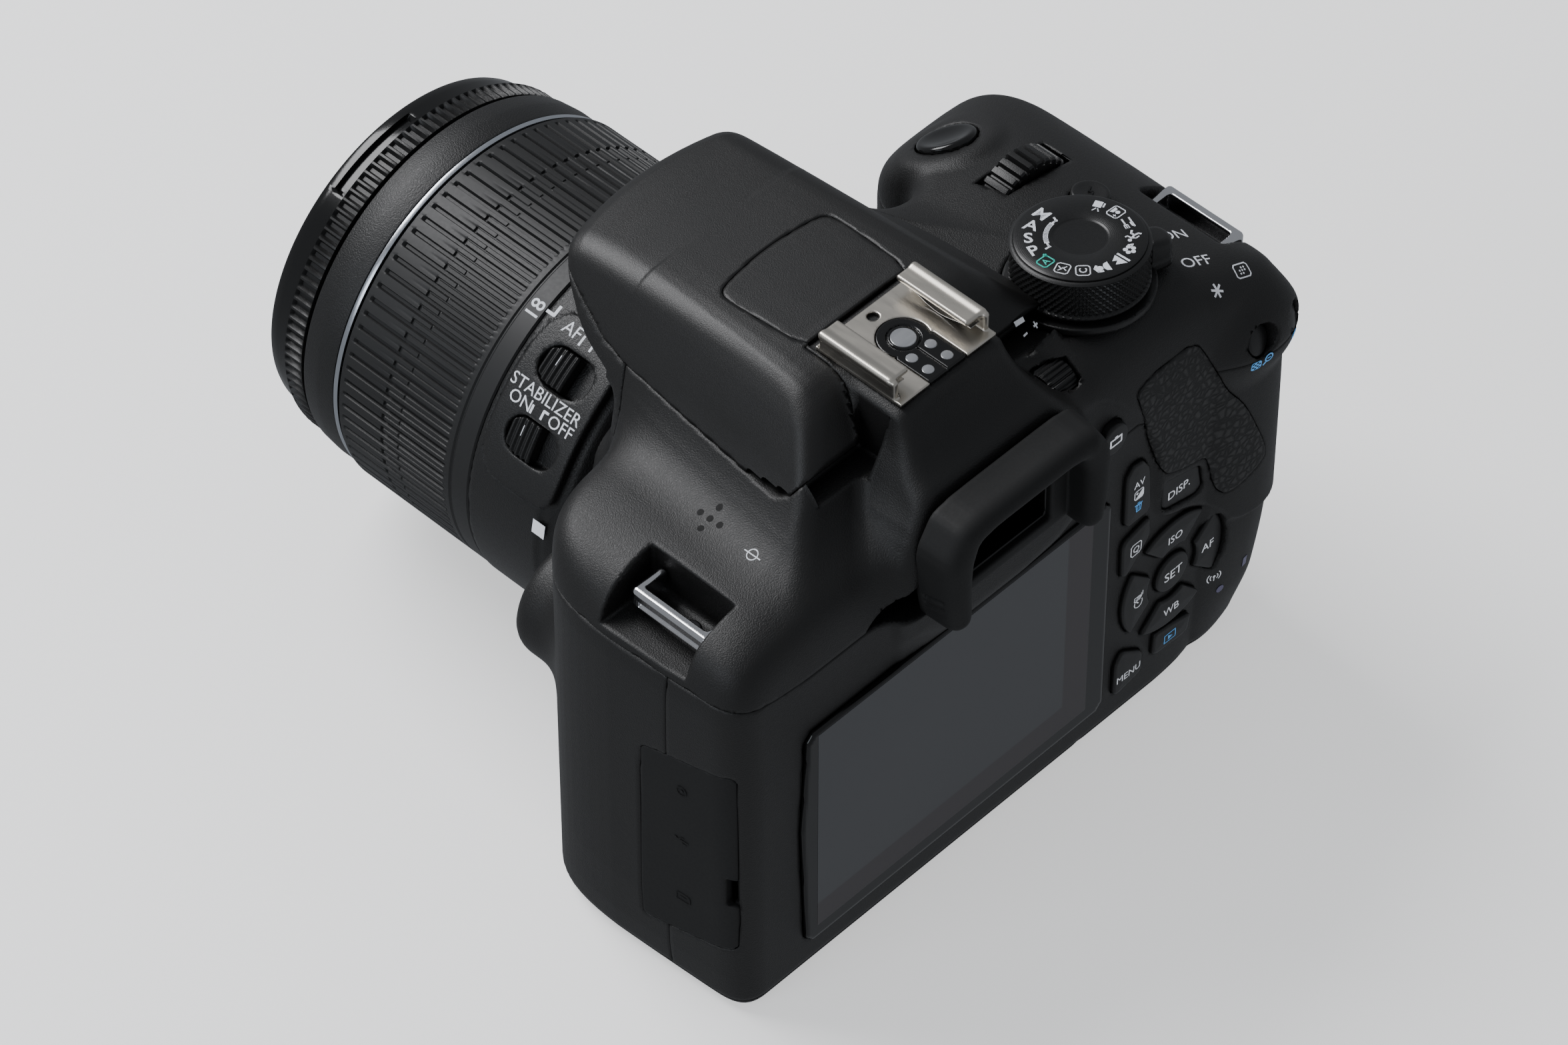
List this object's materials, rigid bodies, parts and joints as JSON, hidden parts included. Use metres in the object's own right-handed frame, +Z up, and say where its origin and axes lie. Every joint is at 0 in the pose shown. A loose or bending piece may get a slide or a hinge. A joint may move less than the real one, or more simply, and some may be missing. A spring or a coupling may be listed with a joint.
{
  "type": "digital single-lens reflex camera with zoom lens",
  "caption": "Black single-lens reflex camera with a zoom lens, pop-up flash housing, accessory shoe, mode dial, rear display and controls, eyecup and opening doors.",
  "frame": {"origin": "middle of the camera's own box, on the base it stands on", "axes": "+Z up, lens points to -Y, grip at -X, port door at +X, display at +Y"},
  "size_m": [0.129, 0.1358, 0.1013],
  "materials": {
    "body_plastic": "fine-grained satin black",
    "soft_rubber": "matte black",
    "control_plastic": "satin black",
    "inner_plastic": "matte black",
    "chrome": "polished",
    "nickel_steel": "satin",
    "brass": "machined",
    "display_glass": "polished",
    "lens_glass": "coated",
    "mirror_face": "silvered",
    "circuit": "solder-masked board",
    "cell_shell": "satin"
  },
  "bodies": {
    "camera_body": {"top_cover": "body_plastic", "front_cover": "body_plastic", "rear_cover": "body_plastic", "bottom_cover": "body_plastic", "lens_rear_barrel": "body_plastic", "grip_rubber": "soft_rubber", "thumb_rubber": "soft_rubber", "eyecup": "soft_rubber", "mirror_box": "inner_plastic", "pentamirror": "inner_plastic", "shutter_unit": "inner_plastic", "display_panel": "inner_plastic", "shoe_insert": "inner_plastic", "port_panel": "inner_plastic", "lens_mount": "chrome", "strap_lug_left": "chrome", "strap_lug_right": "chrome", "shoe_bracket": "nickel_steel", "tripod_socket": "brass", "display_glass": "display_glass", "focusing_screen": "lens_glass", "eyepiece_lens": "lens_glass", "rear_lens_element": "lens_glass", "image_sensor": "circuit", "main_board": "circuit", "flash_capacitor": "cell_shell", "battery": "cell_shell", "memory_card": "cell_shell"},
    "flash_head": {"flash_lid": "body_plastic", "flash_lamp": "lens_glass"},
    "mirror": {"reflex_mirror": "mirror_face"},
    "curtain": {"shutter_curtain": "inner_plastic"},
    "port_flap": {"port_door": "soft_rubber"},
    "battery_flap": {"battery_door": "body_plastic"},
    "zoom_grip": {"zoom_ring": "soft_rubber"},
    "front_barrel": {"lens_inner_barrel": "body_plastic"},
    "focus_grip": {"focus_ring": "control_plastic", "front_lens_element": "lens_glass"},
    "lens_release_key": {"lens_release_button": "control_plastic"},
    "mode_dial_part": {"mode_dial": "control_plastic"},
    "power_lever_part": {"power_lever": "control_plastic"},
    "command_dial_part": {"command_dial": "control_plastic"},
    "flash_key": {"flash_button": "control_plastic"},
    "shutter_key": {"shutter_button": "control_plastic"},
    "autoexposure_lock_key": {"autoexposure_lock_button": "control_plastic"},
    "focus_point_key": {"focus_point_button": "control_plastic"},
    "diopter_dial_part": {"diopter_dial": "control_plastic"},
    "focus_mode_switch_part": {"focus_mode_switch": "control_plastic"},
    "stabilizer_switch_part": {"stabilizer_switch": "control_plastic"},
    "exposure_key": {"exposure_button": "control_plastic"},
    "quick_key": {"quick_button": "control_plastic"},
    "display_key": {"display_button": "control_plastic"},
    "playback_key": {"playback_button": "control_plastic"},
    "menu_key": {"menu_button": "control_plastic"},
    "set_key": {"set_button": "control_plastic"},
    "live_view_key": {"live_view_button": "control_plastic"},
    "key_right_part": {"key_right": "control_plastic"},
    "key_left_part": {"key_left": "control_plastic"},
    "key_up_part": {"key_up": "control_plastic"},
    "key_down_part": {"key_down": "control_plastic"}
  },
  "joints": [
    {"name": "flash_lift", "type": "hinge", "parent": "camera_body", "child": "flash_head", "pos_m": [0.0085, 0.0443, 0.0853], "axis": [-1, 0, 0], "range_deg": [0, 40]},
    {"name": "mode_dial_turn", "type": "hinge", "parent": "camera_body", "child": "mode_dial_part", "pos_m": [-0.0277, 0.0433, 0.0866], "axis": [-0.061, -0.0778, 0.9951], "continuous": true},
    {"name": "power_lever_turn", "type": "hinge", "parent": "camera_body", "child": "power_lever_part", "pos_m": [-0.0277, 0.0433, 0.0866], "axis": [-0.061, -0.0778, 0.9951], "range_deg": [-20, 0]},
    {"name": "command_dial_turn", "type": "hinge", "parent": "camera_body", "child": "command_dial_part", "pos_m": [-0.041, 0.0188, 0.0761], "axis": [0, 1, 0], "continuous": true},
    {"name": "shutter_press", "type": "slide", "parent": "camera_body", "child": "shutter_key", "axis": [0.0998, 0.4944, -0.8635], "range_m": [0, 0.0012], "stiffness_N_per_m": 400},
    {"name": "flash_button_press", "type": "slide", "parent": "camera_body", "child": "flash_key", "axis": [0.1593, 0.0493, -0.986], "range_m": [0, 0.0008], "stiffness_N_per_m": 400},
    {"name": "autoexposure_lock_press", "type": "slide", "parent": "camera_body", "child": "autoexposure_lock_key", "axis": [0.2474, -0.9031, -0.3511], "range_m": [0, 0.0008], "stiffness_N_per_m": 400},
    {"name": "focus_point_press", "type": "slide", "parent": "camera_body", "child": "focus_point_key", "axis": [0.4794, -0.8179, -0.318], "range_m": [0, 0.0008], "stiffness_N_per_m": 400},
    {"name": "diopter_turn", "type": "hinge", "parent": "camera_body", "child": "diopter_dial_part", "pos_m": [-0.0125, 0.0517, 0.0806], "axis": [1, 0, 0], "range_deg": [-150, 150]},
    {"name": "exposure_press", "type": "slide", "parent": "camera_body", "child": "exposure_key", "axis": [0, -1, 0], "range_m": [0, 0.0008], "stiffness_N_per_m": 400},
    {"name": "quick_press", "type": "slide", "parent": "camera_body", "child": "quick_key", "axis": [0, -1, 0], "range_m": [0, 0.0008], "stiffness_N_per_m": 400},
    {"name": "display_press", "type": "slide", "parent": "camera_body", "child": "display_key", "axis": [0, -1, 0], "range_m": [0, 0.0008], "stiffness_N_per_m": 400},
    {"name": "playback_press", "type": "slide", "parent": "camera_body", "child": "playback_key", "axis": [0, -1, 0], "range_m": [0, 0.0008], "stiffness_N_per_m": 400},
    {"name": "menu_press", "type": "slide", "parent": "camera_body", "child": "menu_key", "axis": [0, -1, 0], "range_m": [0, 0.0008], "stiffness_N_per_m": 400},
    {"name": "set_press", "type": "slide", "parent": "camera_body", "child": "set_key", "axis": [0, -1, 0], "range_m": [0, 0.0008], "stiffness_N_per_m": 400},
    {"name": "live_view_press", "type": "slide", "parent": "camera_body", "child": "live_view_key", "axis": [0, -1, 0], "range_m": [0, 0.0008], "stiffness_N_per_m": 400},
    {"name": "key_right_press", "type": "slide", "parent": "camera_body", "child": "key_right_part", "axis": [0, -1, 0], "range_m": [0, 0.0008], "stiffness_N_per_m": 400},
    {"name": "key_left_press", "type": "slide", "parent": "camera_body", "child": "key_left_part", "axis": [0, -1, 0], "range_m": [0, 0.0008], "stiffness_N_per_m": 400},
    {"name": "key_up_press", "type": "slide", "parent": "camera_body", "child": "key_up_part", "axis": [0, -1, 0], "range_m": [0, 0.0008], "stiffness_N_per_m": 400},
    {"name": "key_down_press", "type": "slide", "parent": "camera_body", "child": "key_down_part", "axis": [0, -1, 0], "range_m": [0, 0.0008], "stiffness_N_per_m": 400},
    {"name": "port_door_open", "type": "hinge", "parent": "camera_body", "child": "port_flap", "pos_m": [0.0641, 0.0385, 0.032], "axis": [0, 0, -1], "range_deg": [0, 110]},
    {"name": "battery_door_open", "type": "hinge", "parent": "camera_body", "child": "battery_flap", "pos_m": [-0.0345, 0.0143, 0.00005], "axis": [0, -1, 0], "range_deg": [0, 95]},
    {"name": "lens_release_press", "type": "slide", "parent": "camera_body", "child": "lens_release_key", "axis": [0, 1, 0], "range_m": [0, 0.0015], "stiffness_N_per_m": 400},
    {"name": "mirror_flip", "type": "hinge", "parent": "camera_body", "child": "mirror", "pos_m": [0.0085, 0.0393, 0.057], "axis": [-1, 0, 0], "range_deg": [0, 45]},
    {"name": "curtain_travel", "type": "slide", "parent": "camera_body", "child": "curtain", "axis": [0, 0, -1], "range_m": [0, 0.018]},
    {"name": "zoom_turn", "type": "hinge", "parent": "camera_body", "child": "zoom_grip", "pos_m": [0.0085, -0.0357, 0.042], "axis": [0, 1, 0], "range_deg": [0, 75]},
    {"name": "barrel_extend", "type": "slide", "parent": "camera_body", "child": "front_barrel", "axis": [0, -1, 0], "range_m": [0, 0.026]},
    {"name": "focus_turn", "type": "hinge", "parent": "front_barrel", "child": "focus_grip", "pos_m": [0.0085, -0.0617, 0.042], "axis": [0, 1, 0], "range_deg": [-45, 45]},
    {"name": "focus_mode_slide", "type": "slide", "parent": "camera_body", "child": "focus_mode_switch_part", "axis": [0, 1, 0], "range_m": [0, 0.0034]},
    {"name": "stabilizer_slide", "type": "slide", "parent": "camera_body", "child": "stabilizer_switch_part", "axis": [0, 1, 0], "range_m": [0, 0.0034]}
  ],
  "couplings": [
    {"joint": "barrel_extend", "follows": "zoom_turn", "m_per_rad": 0.01985}
  ]
}
